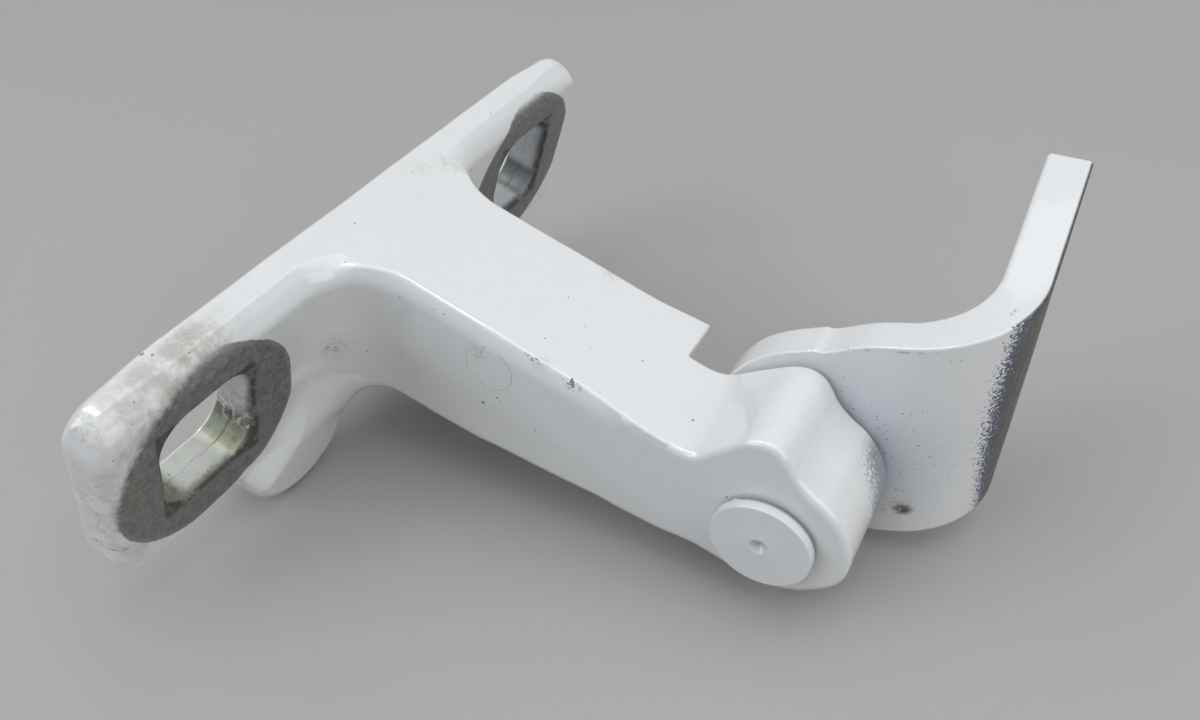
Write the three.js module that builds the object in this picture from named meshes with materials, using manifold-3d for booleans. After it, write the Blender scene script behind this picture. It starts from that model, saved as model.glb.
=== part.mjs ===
// Heavy pivot hinge: a T-shaped arm whose wide foot bolts to a frame, a headed pin pressed into
// the knuckle at the arm's end, and a bent leaf that turns on that pin under the preload of a
// disc spring, so that it stays where it is put.
//
// Hinge frame, millimetres: the origin is the centre of the foot's flat mounting face, +Y runs
// along the pin, +X leaves the leaf's mounting face square on, +Z is up as the hinge lies on a
// bench. The arm is drawn in its own frame (x along the arm to the pin, y along the pin, z square
// to the arm's flat top) with its zero on the pin axis at the near cheek, and is then tilted.
// Near means low y, far means high y, front means high x.
import * as THREE from 'three';
import { mergeVertices } from 'three/addons/utils/BufferGeometryUtils.js';
import Module from 'manifold-3d';

const wasm = await Module();
wasm.setup();

const DEG = Math.PI / 180;
const OVERCUT = 3;            // how far a cutter runs past the faces it opens

// ---------------------------------------------------------------- driving dimensions
const TILT = 18.4 * DEG;      // the arm's slope when the hinge lies on its two toes and the eye
const MID_Y = 9.9;            // middle of the foot along the pin direction
const TOP_Z = 4.7;            // flat top shared by foot and arm

const FOOT_BACK = -63.4;      // mounting face
const FOOT_THICK = 6.0;
const FOOT_FRONT = FOOT_BACK + FOOT_THICK;
const FOOT_HALF = 46.8;       // half the foot's length
const FOOT_BEVEL = 1.2;
const EAR_BOTTOM = -22.9;
const EAR_TOP_R = 5.0;
const EAR_BOTTOM_R = 5.5;

const HOLE_PITCH = 65.0;      // distance between the two bolt holes
const HOLE_Z = -8.8;
const HOLE_WIDTH = 13.7;      // along y
const HOLE_HEIGHT = 15.0;     // along z
const HOLE_CORNER_R = 4.3;

const TOE_R = 8.8;            // the two rounded toes below the foot
const TOE_OFFSET = 18.8;      // of each toe from MID_Y
const TOE_Z = -23.0;
const TOE_FRONT = -55.0;      // the toes stand further forward than the foot
const TOE_EASE = 2.2;         // rounding of their front edge
const WEB_BOTTOM = -26.0;     // lower edge between the toes

const ARM_BACK = -60.5;       // the arm is drawn from inside the foot's thickness
const ARM_NEAR = 0.0;
const ARM_FAR = 20.2;
const ARM_EDGE = 0.8;         // eased edge
const STEP_X = -17.8;         // shoulder where the far part of the arm stops
const STEP_Z = -11.95;        // lower end of that shoulder
const CHEEK_Y = 13.7;         // far cheek of the knuckle
const BARREL_R = 9.65;
const BORE_R = 4.3;           // pin hole in the knuckle
const RECESS_R = 8.3;         // recess in the cheek for the inner friction washer
const RECESS_Y = 12.75;

const ROOT_X = -43;           // where the arm starts to deepen towards the foot
const ROOT_LOW = -15.9;       // underside there
const ROOT_TOP = TOP_Z - 1.2; // top of the root block, inside the arm
const ROOT_R = 7.5;           // side fillets between arm and foot
const ROOT_LIMIT = [-61.5, -42];   // x range the root may fill

const HEAD_R = 6.0;           // pin
const HEAD_THICK = 1.5;
const HEAD_EDGE = 0.25;
const HEAD_BACK = -0.2;       // the head stands just clear of the arm's near side
const HEAD_FACE = HEAD_BACK - HEAD_THICK;
const DIMPLE_R = 1.55;
const DIMPLE_DEPTH = 0.9;
const PIN_R = 4.0;
const TAIL_R = 3.0;
const TAIL_Y = 21.9;
const RIVET_R = 4.9;
const RIVET_Y = 23.7;

const LEAF_Y = 14.1;          // near face of the leaf
const LEAF_THICK = 5.0;
const LEAF_BORE_R = 5.8;
const BEND_START = 8.4;       // from the pin axis
const BEND_R = 6.9;           // inside radius
const BEND_LENGTH = (BEND_R + LEAF_THICK / 2) * 90 * DEG;   // along mid-thickness
// The flat pattern's edges, measured along the leaf from the pin axis
const LEAF_START = -12.15;
const EYE_END = 9;            // end of the closely stepped rounded end
const LEAF_END = 41.0;
const UPPER_EDGE = { height: 17.1, slope: 16.4 * DEG };
const LOWER_EDGE = { height: -9.7, slope: 7.1 * DEG };
const EYE = { radius: 15.5, along: 2.55, height: 0.45 };    // upper part of the rounded end
const HEEL_R = 12.25;         // lower part of the rounded end, about the pin
const LEDGE = [0.3, 3.8];     // where the straight upper edge drops onto the rounded end

// Rings on the pin: bore and rim are radii, near and far are y, edge is the rim's chamfer
const BUSH = { bore: 4.15, rim: 5.5, near: 14.2, far: 19.0, edge: 0.2 };
const INNER_WASHER = { bore: 4.3, rim: 8.0, near: 12.95, far: 13.95, edge: 0.15 };
const OUTER_WASHER = { bore: 4.3, rim: 8.0, near: 19.25, far: 20.25, edge: 0.15 };
const BACKING = { bore: 3.3, rim: 7.5, near: 22.05, far: 23.4, edge: 0.25 };
const SPRING = { bore: 4.4, rim: 7.8, near: 20.45, thick: 0.7, cone: 0.6 };

// ---------------------------------------------------------------- helpers
const point = (x, y) => new THREE.Vector2(x, y);
const vector = (x, y, z) => new THREE.Vector3(x, y, z);

function weld(geometry) {
  geometry.deleteAttribute('normal');
  geometry.deleteAttribute('uv');
  return mergeVertices(geometry, 1e-5);
}

function solid(geometry) {
  const welded = weld(geometry);
  return new wasm.Manifold(new wasm.Mesh({
    numProp: 3,
    vertProperties: Float32Array.from(welded.attributes.position.array),
    triVerts: Uint32Array.from(welded.index.array),
  }));
}

function geometryOf(manifold) {
  const { vertProperties, triVerts } = manifold.getMesh();
  const geometry = new THREE.BufferGeometry();
  const positions = Float32Array.from(vertProperties);
  geometry.setAttribute('position', new THREE.BufferAttribute(positions, 3));
  geometry.setIndex(new THREE.BufferAttribute(Uint32Array.from(triVerts), 1));
  return geometry;
}

// A solid from a shape pushed along its basis' third axis, with an eased edge at both ends.
function push(shape, from, to, basis, { ease = 0, curveSegments = 10, easeSegments = 2 } = {}) {
  const geometry = new THREE.ExtrudeGeometry(shape, {
    depth: to - from - 2 * ease,
    bevelEnabled: ease > 0,
    bevelThickness: ease,
    bevelSize: ease,
    bevelOffset: -ease,
    bevelSegments: easeSegments,
    curveSegments,
  });
  geometry.translate(0, 0, from + ease);
  geometry.applyMatrix4(basis);
  return solid(geometry);
}

const basisOf = (...axes) => new THREE.Matrix4().makeBasis(...axes);
const ALONG_X = basisOf(vector(0, 1, 0), vector(0, 0, 1), vector(1, 0, 0));
const ALONG_Y = basisOf(vector(1, 0, 0), vector(0, 0, 1), vector(0, -1, 0));
const ALONG_Z = new THREE.Matrix4();

// Shape in (y, z)
const pushX = (shape, from, to, options) => push(shape, from, to, ALONG_X, options);
// Shape in (x, z); the basis runs towards -y, so the limits are negated and swapped
const pushY = (shape, near, far, options) => push(shape, -far, -near, ALONG_Y, options);
// Shape in (x, y)
const pushZ = (shape, from, to) => push(shape, from, to, ALONG_Z);

function roundedRect({ near, far, bottom, top, topR, bottomR = topR }) {
  const shape = new THREE.Shape();
  shape.moveTo(near + bottomR, bottom);
  shape.lineTo(far - bottomR, bottom);
  shape.absarc(far - bottomR, bottom + bottomR, bottomR, -90 * DEG, 0, false);
  shape.lineTo(far, top - topR);
  shape.absarc(far - topR, top - topR, topR, 0, 90 * DEG, false);
  shape.lineTo(near + topR, top);
  shape.absarc(near + topR, top - topR, topR, 90 * DEG, 180 * DEG, false);
  shape.lineTo(near, bottom + bottomR);
  shape.absarc(near + bottomR, bottom + bottomR, bottomR, 180 * DEG, 270 * DEG, false);
  return shape;
}

function cylinderY(radius, near, far) {
  const geometry = new THREE.CylinderGeometry(radius, radius, far - near, 48);
  geometry.translate(0, (near + far) / 2, 0);
  return solid(geometry);
}

// A profile of [radius, y] pairs turned about the pin axis, always facing out.
function turned(profile) {
  const lathe = new THREE.LatheGeometry(profile.map((pair) => point(...pair)), 48);
  const welded = weld(lathe);
  const index = welded.index.array;
  const corner = (id) => vector().fromBufferAttribute(welded.attributes.position, id);
  const kept = [];
  let volume = 0;
  for (let i = 0; i < index.length; i += 3) {
    const [first, second, third] = index.slice(i, i + 3);
    // welding collapses the triangles that touch the axis
    if (first === second || second === third || first === third) continue;
    kept.push(first, second, third);
    volume += corner(first).dot(corner(second).cross(corner(third)));
  }
  if (volume < 0) {
    for (let i = 0; i < kept.length; i += 3) {
      [kept[i], kept[i + 1]] = [kept[i + 1], kept[i]];
    }
  }
  welded.setIndex(kept);
  return welded;
}

const ring = ({ bore, rim, near, far, edge }) => turned([
  [bore, near],
  [rim - edge, near],
  [rim, near + edge],
  [rim, far - edge],
  [rim - edge, far],
  [bore, far],
  [bore, near],
]);

// ---------------------------------------------------------------- hinge arm: side views
// Path steps in x, z; a step of four numbers is a curve's control point and its end.
const NOSE = [
  [-14.8, TOP_Z],
  [-13.2, TOP_Z, -12.1, 6.1],       // foot of the nose's ramp
  [-7.0, 11.9],
  [-5.1, 14.2, -3.0, 12.8],         // crest
  [-1.3, 11.25],
  [-0.115, 10.19, 2.98, 9.18],      // valley between nose and barrel
];
const BARREL_ARC = [72 * DEG, -98 * DEG];
const BEHIND_BARREL = [[-3.0, -9.3], [-10.2, -10.6]];
const SHOULDER = [[STEP_X, TOP_Z], [STEP_X, STEP_Z]];
const UNDERSIDE = [[-36, -15.2], [ROOT_X, ROOT_LOW], [ARM_BACK, ROOT_LOW]];

function follow(shape, steps) {
  for (const step of steps) {
    if (step.length === 2) shape.lineTo(...step);
    else shape.quadraticCurveTo(...step);
  }
}

// Both side views share their back, top and underside; drawFront draws what lies between.
function armOutline(drawFront) {
  const shape = new THREE.Shape();
  shape.moveTo(ARM_BACK, ROOT_LOW);
  shape.lineTo(ARM_BACK, TOP_Z);
  drawFront(shape);
  follow(shape, UNDERSIDE);
  return shape;
}

// The near part carries the nose and the knuckle.
const nearOutline = () => armOutline((shape) => {
  follow(shape, NOSE);
  shape.absarc(0, 0, BARREL_R, ...BARREL_ARC, true);
  follow(shape, BEHIND_BARREL);
});

// The wide part stops at the shoulder.
const farOutline = () => armOutline((shape) => follow(shape, SHOULDER));

// ---------------------------------------------------------------- hinge arm: foot and toes
function foot() {
  const ears = roundedRect({
    near: MID_Y - FOOT_HALF,
    far: MID_Y + FOOT_HALF,
    bottom: EAR_BOTTOM,
    top: TOP_Z,
    topR: EAR_TOP_R,
    bottomR: EAR_BOTTOM_R,
  });
  const ends = [FOOT_BACK, FOOT_FRONT];
  return pushX(ears, ...ends, { ease: FOOT_BEVEL, curveSegments: 6 })
    .add(pushX(toesOutline(), ...ends, { ease: FOOT_BEVEL, curveSegments: 12 }));
}

function toesOutline() {
  const shape = new THREE.Shape();
  const webAngle = Math.asin((TOE_Z - WEB_BOTTOM) / TOE_R);
  const nearToe = MID_Y - TOE_OFFSET;
  const farToe = MID_Y + TOE_OFFSET;
  shape.moveTo(nearToe - TOE_R, 0);
  shape.lineTo(nearToe - TOE_R, TOE_Z);
  shape.absarc(nearToe, TOE_Z, TOE_R, Math.PI, 2 * Math.PI - webAngle, false);
  shape.absarc(farToe, TOE_Z, TOE_R, Math.PI + webAngle, 2 * Math.PI, false);
  shape.lineTo(farToe + TOE_R, 0);
  return shape;
}

// Side view, x and z, of what is kept of the toes: they swell out of the foot over a slope.
const TOE_KEEP = [
  [ARM_BACK, -36], [-50, -36], [-50, -21.5],
  [TOE_FRONT, -21.5], [-57.6, -12.5], [ARM_BACK, -12.5],
];
const TOE_KEEP_HALF = 30;     // either side of MID_Y
const TOE_RUN_BACK = -70;     // behind the foot, so that only the front easing is kept

function toeFronts() {
  const run = pushX(toesOutline(), TOE_RUN_BACK, TOE_FRONT, {
    ease: TOE_EASE,
    curveSegments: 12,
    easeSegments: 5,
  });
  const keep = new THREE.Shape(TOE_KEEP.map((pair) => point(...pair)));
  return run.intersect(pushY(keep, MID_Y - TOE_KEEP_HALF, MID_Y + TOE_KEEP_HALF));
}

function boltHole(side) {
  const middle = MID_Y + (side * HOLE_PITCH) / 2;
  const outline = roundedRect({
    near: middle - HOLE_WIDTH / 2,
    far: middle + HOLE_WIDTH / 2,
    bottom: HOLE_Z - HOLE_HEIGHT / 2,
    top: HOLE_Z + HOLE_HEIGHT / 2,
    topR: HOLE_CORNER_R,
  });
  return pushX(outline, FOOT_BACK - OVERCUT, FOOT_FRONT + OVERCUT, { curveSegments: 6 });
}

// ---------------------------------------------------------------- hinge arm: root
// Lower edge of the root, side view: an arch in the middle, two ribs running down to the toes.
const rootCurve = (control, end) => new THREE.QuadraticBezierCurve(
  point(ROOT_X, ROOT_LOW), point(...control), point(...end));
const ARCH = rootCurve([-55.8, -18.0], [-58.2, -26.5]);
const RIB = rootCurve([-54.2, -18.6], [-55.6, -31.0]);
const RIB_BLEND = [2.5, 8.1];      // distance from the arm's middle over which arch becomes rib

const FILLET_BACK = -61;
const FILLET_LOW = -31;            // lower corner of the fillets' side view
const FILLET_BOTTOM = -33;         // the plan view is pushed from below that
const FILLET_OVERLAP = 2;          // into the arm
const FILLET_REACH = 12;           // y beyond the arm's sides, clear of the fillets
const LIMIT = { half: 22, bottom: -20, corner: 0.5 };   // rectangle above the toes

// Plan view of one side fillet: side -1 near, +1 far.
function filletPlan(side) {
  const armSide = side < 0 ? ARM_NEAR : ARM_FAR;
  const centreX = FOOT_FRONT + ROOT_R;
  const centreY = armSide + side * ROOT_R;
  const points = [point(ARM_BACK, centreY)];
  for (let i = 0; i <= 10; i++) {
    const angle = (i / 10) * 90 * DEG;
    points.push(point(
      centreX - ROOT_R * Math.cos(angle),
      centreY - side * ROOT_R * Math.sin(angle),
    ));
  }
  const innerY = armSide - side * FILLET_OVERLAP;
  points.push(point(centreX, innerY), point(ARM_BACK, innerY));
  return new THREE.Shape(points);
}

function sideFillets() {
  const sideView = new THREE.Shape([
    point(FILLET_BACK, TOP_Z),
    point(FILLET_BACK, FILLET_LOW),
    ...RIB.getPoints(10).reverse(),
    point(ROOT_X, TOP_Z),
  ]);
  return pushZ(filletPlan(-1), FILLET_BOTTOM, TOP_Z)
    .add(pushZ(filletPlan(1), FILLET_BOTTOM, TOP_Z))
    .intersect(pushY(sideView, ARM_NEAR - FILLET_REACH, ARM_FAR + FILLET_REACH));
}

// A gridded box bent so that its underside follows the arch and the ribs. Level 0 is the
// underside, drawn in by the eased edge, level 1 lies just above it and level 2 is the top.
function rootBlock() {
  const columns = 11;
  const rows = 14;
  const middle = (ARM_NEAR + ARM_FAR) / 2;
  const half = (ARM_FAR - ARM_NEAR) / 2;
  const box = new THREE.BoxGeometry(1, 1, 1, columns, rows, 2);
  const position = box.attributes.position;
  for (let i = 0; i < position.count; i++) {
    const column = Math.round((0.5 - position.getX(i)) * columns);
    const offset = position.getY(i) * 2 * half;
    const level = Math.round((position.getZ(i) + 0.5) * 2);
    const ribShare = THREE.MathUtils.smoothstep(Math.abs(offset), ...RIB_BLEND);
    const along = Math.min(column / (columns - 1), 1);
    const lower = ARCH.getPoint(along).lerp(RIB.getPoint(along), ribShare);
    const reach = half - (level === 0 ? ARM_EDGE : 0);
    position.setXYZ(
      i,
      column === columns ? ARM_BACK : lower.x,
      middle + THREE.MathUtils.clamp(offset, -reach, reach),
      level === 2 ? ROOT_TOP : lower.y + level * ARM_EDGE,
    );
  }
  return solid(box);
}

// Keeps the root within the toes' outline.
function rootLimit() {
  const upper = roundedRect({
    near: MID_Y - LIMIT.half,
    far: MID_Y + LIMIT.half,
    bottom: LIMIT.bottom,
    top: TOP_Z,
    topR: LIMIT.corner,
  });
  return pushX(toesOutline(), ...ROOT_LIMIT, { curveSegments: 12 })
    .add(pushX(upper, ...ROOT_LIMIT));
}

function hingeArm() {
  const root = sideFillets().add(rootBlock()).intersect(rootLimit());
  const body = foot()
    .add(toeFronts())
    .add(pushY(farOutline(), ARM_NEAR, ARM_FAR, { ease: ARM_EDGE }))
    .add(pushY(nearOutline(), ARM_NEAR, CHEEK_Y, { ease: ARM_EDGE, curveSegments: 14 }))
    .add(root)
    .subtract(boltHole(-1))
    .subtract(boltHole(1))
    .subtract(cylinderY(BORE_R, ARM_NEAR - OVERCUT, CHEEK_Y + OVERCUT))
    .subtract(cylinderY(RECESS_R, RECESS_Y, CHEEK_Y + OVERCUT));
  return geometryOf(body);
}

// ---------------------------------------------------------------- hinge leaf
const edgeLine = ({ height, slope }, along) => height + along * Math.tan(slope);
const arcHeight = (radius, offset) => Math.sqrt(Math.max(radius * radius - offset ** 2, 0));

function leafTop(along) {
  const arc = EYE.height + arcHeight(EYE.radius, Math.min(along - EYE.along, 0));
  const lineShare = THREE.MathUtils.smoothstep(along, ...LEDGE);
  return THREE.MathUtils.lerp(arc, edgeLine(UPPER_EDGE, along), lineShare);
}

function leafBottom(along) {
  const line = edgeLine(LOWER_EDGE, along);
  if (along > EYE_END) return line;
  return Math.min(along > 0 ? line : 0, -arcHeight(HEEL_R, along));
}

// Folds a flat-pattern point; depth is 0 on the near face, which is the outside of the bend.
function leafPoint(along, height, depth) {
  if (along <= BEND_START) return [along, LEAF_Y + depth, height];
  const radius = BEND_R + LEAF_THICK - depth;
  const angle = Math.min(((along - BEND_START) / BEND_LENGTH) * 90 * DEG, 90 * DEG);
  const beyond = Math.max(along - BEND_START - BEND_LENGTH, 0);
  return [
    BEND_START + radius * Math.sin(angle),
    LEAF_Y + LEAF_THICK + BEND_R - radius * Math.cos(angle) + beyond,
    height,
  ];
}

// Distances along the flat pattern: cosine steps over the rounded end, even ones to the end of
// the bend, then the leaf's end.
function leafStations() {
  const stations = [];
  for (let i = 0; i <= 20; i++) {
    const share = 0.5 * (1 - Math.cos((Math.PI * i) / 20));
    stations.push(LEAF_START + (EYE_END - LEAF_START) * share);
  }
  for (let i = 1; i <= 12; i++) {
    stations.push(EYE_END + ((BEND_START + BEND_LENGTH - EYE_END) * i) / 12);
  }
  stations.push(LEAF_END);
  return stations;
}

function hingeLeaf() {
  const stations = leafStations();
  const steps = stations.length - 1;
  const box = new THREE.BoxGeometry(1, 1, 1, steps, 1, 1);
  const position = box.attributes.position;
  for (let i = 0; i < position.count; i++) {
    const along = stations[Math.round((position.getX(i) + 0.5) * steps)];
    const rise = position.getY(i) + 0.5;
    const height = THREE.MathUtils.lerp(leafBottom(along), leafTop(along), rise);
    // the box's z runs against the leaf's depth, so that its faces keep pointing out
    const depth = LEAF_THICK * (0.5 - position.getZ(i));
    position.setXYZ(i, ...leafPoint(along, height, depth));
  }
  const bore = cylinderY(LEAF_BORE_R, LEAF_Y - OVERCUT, LEAF_Y + LEAF_THICK + OVERCUT);
  return geometryOf(solid(box).subtract(bore));
}

// ---------------------------------------------------------------- pin and spring
// Riveted end of the pin: inset from its radius, rise above its seat
const RIVET_DOME = [[0, 0], [0.2, 0.7], [1.2, 1.4], [3.0, 1.8], [RIVET_R, 1.9]];

const pivotPin = () => turned([
  [0, HEAD_FACE + DIMPLE_DEPTH],
  [DIMPLE_R, HEAD_FACE],
  [HEAD_R - HEAD_EDGE, HEAD_FACE],
  [HEAD_R, HEAD_FACE + HEAD_EDGE],
  [HEAD_R, HEAD_BACK],
  [PIN_R, HEAD_BACK],
  [PIN_R, TAIL_Y],
  [TAIL_R, TAIL_Y],
  [TAIL_R, RIVET_Y],
  ...RIVET_DOME.map(([inset, rise]) => [RIVET_R - inset, RIVET_Y + rise]),
]);

function discSpring() {
  const { bore, rim, near, thick, cone } = SPRING;
  return turned([
    [bore, near + cone],
    [rim, near],
    [rim, near + thick],
    [bore, near + cone + thick],
    [bore, near + cone],
  ]);
}

// ---------------------------------------------------------------- materials
const standard = (settings) => new THREE.MeshStandardMaterial(settings);
const paint = () => standard({ color: 0xe4e7e8, roughness: 0.22, metalness: 0.0 });
const steel = () => standard({ color: 0x8f9194, roughness: 0.4, metalness: 1.0 });
const springSteel = () => standard({ color: 0x5c5f63, roughness: 0.35, metalness: 1.0 });
const bronze = () => standard({ color: 0xa8834a, roughness: 0.45, metalness: 1.0 });
const composite = () => standard({ color: 0x2e2b28, roughness: 0.7, metalness: 0.0 });

// ---------------------------------------------------------------- scene graph
function mesh(name, geometry, material) {
  const piece = new THREE.Mesh(geometry, material);
  piece.name = name;
  return piece;
}

// Groups pieces on the pin axis, placed so that the foot's mounting face is at the origin.
function onPinAxis(...pieces) {
  const group = new THREE.Group();
  group.position.set(
    -FOOT_BACK * Math.cos(TILT) - HOLE_Z * Math.sin(TILT),
    -MID_Y,
    FOOT_BACK * Math.sin(TILT) - HOLE_Z * Math.cos(TILT),
  );
  return group.add(...pieces);
}

const armGroup = onPinAxis(mesh('hinge_arm', hingeArm(), paint()));
armGroup.rotation.y = TILT;

const pinGroup = onPinAxis(
  mesh('pivot_pin', pivotPin(), paint()),
  mesh('inner_friction_washer', ring(INNER_WASHER), composite()),
  mesh('outer_friction_washer', ring(OUTER_WASHER), composite()),
  mesh('disc_spring', discSpring(), springSteel()),
  mesh('backing_washer', ring(BACKING), steel()),
);

const leafGroup = onPinAxis(
  mesh('hinge_leaf', hingeLeaf(), paint()),
  mesh('leaf_bush', ring(BUSH), bronze()),
);

const hinge = new THREE.Group();
hinge.add(armGroup, pinGroup, leafGroup);

export default hinge;
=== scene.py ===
import math

import bmesh
import bpy
import numpy as np
from mathutils import Matrix, Vector


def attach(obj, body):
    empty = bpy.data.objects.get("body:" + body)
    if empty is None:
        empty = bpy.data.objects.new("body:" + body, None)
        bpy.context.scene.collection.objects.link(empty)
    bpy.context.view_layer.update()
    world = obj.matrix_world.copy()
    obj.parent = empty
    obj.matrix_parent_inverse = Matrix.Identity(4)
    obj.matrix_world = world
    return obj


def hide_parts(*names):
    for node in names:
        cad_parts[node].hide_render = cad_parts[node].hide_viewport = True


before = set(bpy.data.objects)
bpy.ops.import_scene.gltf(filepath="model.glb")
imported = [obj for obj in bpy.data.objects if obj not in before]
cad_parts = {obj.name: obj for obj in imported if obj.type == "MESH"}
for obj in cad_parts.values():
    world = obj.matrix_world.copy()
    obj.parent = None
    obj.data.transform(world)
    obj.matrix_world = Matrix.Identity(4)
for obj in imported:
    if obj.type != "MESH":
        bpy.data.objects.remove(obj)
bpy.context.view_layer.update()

# ------------------------------------------------------------------ frames
# The arm's own frame: x along the arm to the pin, y along the pin from head to tail, z square to
# the arm's flat top, zero on the pin axis at the near cheek.
TILT = math.radians(18.4)       # the arm's slope against the scene
MID_Y = 9.9                     # the middle of the foot, on the scene's y = 0
PIN = np.array([62.9365, -MID_Y, -11.662])      # the arm frame's origin in the scene
FLOOR_Z = -0.02392              # metres
TO_METRES = 1000


def turn_to_scene(vectors):
    """Directions in the arm's frame, turned to the scene's."""
    x, y, z = vectors.T
    cosine, sine = math.cos(TILT), math.sin(TILT)
    return np.stack([x * cosine + z * sine, y, -x * sine + z * cosine], 1)


# ------------------------------------------------------------------ outlines and distances
def lerp(start, end, share):
    return start + (end - start) * share


def step(value, start, end):
    """A smooth climb from 0 at start to 1 at end."""
    share = np.clip((value - start) / (end - start), 0.0, 1.0)
    return share * share * (3 - 2 * share)


def cut(first, second, radius):
    """Intersection with the convex edge rounded to a radius."""
    over_1, over_2 = np.maximum(radius + first, 0), np.maximum(radius + second, 0)
    rounding = np.sqrt(over_1 * over_1 + over_2 * over_2)
    return np.minimum(-radius, np.maximum(first, second)) + rounding


def join(first, second, radius):
    """Union with the concave corner filled to a radius."""
    over_1, over_2 = np.maximum(radius - first, 0), np.maximum(radius - second, 0)
    rounding = np.sqrt(over_1 * over_1 + over_2 * over_2)
    return np.maximum(radius, np.minimum(first, second)) - rounding


def polygon(outline, x, z):
    """Signed distance to a closed polygon, negative inside."""
    corners = np.asarray(outline, np.float32)
    nearest = np.full(np.broadcast(x, z).shape, 1e9, np.float32)
    sign = np.ones_like(nearest)
    for i in range(len(corners)):
        here, last = corners[i], corners[i - 1]
        edge_x, edge_z = last[0] - here[0], last[1] - here[1]
        off_x, off_z = x - here[0], z - here[1]
        share = (off_x * edge_x + off_z * edge_z) / (edge_x * edge_x + edge_z * edge_z)
        share = np.clip(share, 0, 1)
        gap = (off_x - edge_x * share) ** 2 + (off_z - edge_z * share) ** 2
        nearest = np.minimum(nearest, gap)
        above, below, beside = z >= here[1], z < last[1], edge_x * off_z > edge_z * off_x
        crossed = (above & below & beside) | (~above & ~below & ~beside)
        sign = np.where(crossed, -sign, sign)
    return sign * np.sqrt(nearest)


def bezier(start, pull, end, count):
    """Points on a quadratic curve, without its first one."""
    t = np.linspace(0, 1, count + 1)[1:, None]
    start, pull, end = (np.array(p, float) for p in (start, pull, end))
    curve = (1 - t) ** 2 * start + 2 * t * (1 - t) * pull + t * t * end
    return [tuple(p) for p in curve]


def spline(points, count):
    """A smooth line through the points, without its first and last ones."""
    points = np.array(points, float)
    line = []
    for i in range(1, len(points) - 2):
        a, b, c, d = points[i - 1:i + 3]
        for t in np.arange(count) / count:
            line.append(tuple(0.5 * (2 * b + (c - a) * t + (2 * a - 5 * b + 4 * c - d) * t ** 2
                                     + (3 * b - a - 3 * c + d) * t ** 3)))
    line.append(tuple(points[-2]))
    return line


def circle(radius, degrees):
    """Points about the origin at the given angles."""
    return [(radius * math.cos(a), radius * math.sin(a)) for a in np.radians(degrees)]


def wobble(x, y, z):
    """The slow unevenness of a forged surface under paint, about 0.05 mm."""
    return (0.028 * np.sin(0.43 * x + 0.9 * np.sin(0.21 * y) + 0.31 * z + 0.4)
            + 0.020 * np.sin(0.31 * y - 0.57 * z + 0.7 * np.sin(0.17 * x) + 1.9)
            + 0.007 * np.sin(0.93 * x - 0.61 * y + 0.4 * z)
            + 0.004 * np.sin(1.27 * z + 0.83 * y - 0.35 * x + 2.2))


# ------------------------------------------------------------------ meshes from distance fields
NEWTON_ROUNDS = 4           # moves that bring a point onto the surface
EVEN_ROUNDS = 2             # how many of them also even the spacing
GRADIENT_REACH = 0.02
GRID_NORMAL_REACH = 0.06    # half the width over which a grid point's normal is taken
SPLIT_NORMAL_REACH = 0.045  # the same for points made by splitting
SPLIT_ANGLE = 14.0          # edges that turn by more degrees than this are split
SPLIT_LEVELS = 2
SHORTEST_EDGE = 0.11        # edges no longer than this are left whole


def gradient(field, points, reach):
    slope = np.empty_like(points)
    for axis in range(3):
        offset = np.zeros(3)
        offset[axis] = reach
        rise = field(*(points + offset).T) - field(*(points - offset).T)
        slope[:, axis] = rise / (2 * reach)
    return slope


def move_to_surface(field, points, limit):
    """One Newton move towards the zero surface, no longer than the limit."""
    slope = gradient(field, points, GRADIENT_REACH)
    steepness = np.maximum((slope * slope).sum(1), 0.05)
    move = -(field(*points.T) / steepness)[:, None] * slope
    length = np.linalg.norm(move, axis=1, keepdims=True)
    return points + move * np.minimum(1, limit / np.maximum(length, 1e-9))


def surface_normals(field, points, reach):
    slope = gradient(field, points, reach)
    return slope / np.maximum(np.linalg.norm(slope, axis=1, keepdims=True), 1e-9)


def crossing_means(values, active):
    """For each active cell, the mean place of the surface on its edges, in cells."""
    total = np.zeros((len(active), 3))
    hits = np.zeros(len(active))
    for axis in range(3):
        others = [a for a in range(3) if a != axis]
        for ends in np.ndindex(2, 2):
            start = np.zeros(3, int)
            start[others] = ends
            stop = start.copy()
            stop[axis] = 1
            value_0 = values[tuple((active + start).T)]
            value_1 = values[tuple((active + stop).T)]
            crosses = (value_0 < 0) != (value_1 < 0)
            share = np.where(crosses, value_0 / np.where(crosses, value_0 - value_1, 1), 0)
            place = np.tile(start.astype(float), (len(active), 1))
            place[:, axis] += share
            total += place * crosses[:, None]
            hits += crosses
    return total / hits[:, None]


def crossing_quads(inside, index, cells):
    """A quad of cell points round every grid edge that the surface crosses."""
    quads = []
    for axis, (side, other) in enumerate([(1, 2), (2, 0), (0, 1)]):
        lower = [slice(None)] * 3
        upper = [slice(None)] * 3
        lower[axis], upper[axis] = slice(0, -1), slice(1, None)
        lower, upper = tuple(lower), tuple(upper)
        edges = np.argwhere(inside[lower] != inside[upper])
        whole = ((edges[:, side] > 0) & (edges[:, other] > 0)
                 & (edges[:, side] < cells[side]) & (edges[:, other] < cells[other]))
        edges = edges[whole]
        flip = ~inside[lower][tuple(edges.T)]
        corners = []
        for move_side, move_other in ((-1, -1), (0, -1), (0, 0), (-1, 0)):
            cell = edges.copy()
            cell[:, side] += move_side
            cell[:, other] += move_other
            corners.append(index[tuple(cell.T)])
        quad = np.stack(corners, 1)
        quad[flip] = quad[flip][:, ::-1]
        quads.append(quad)
    return np.concatenate(quads)


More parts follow.
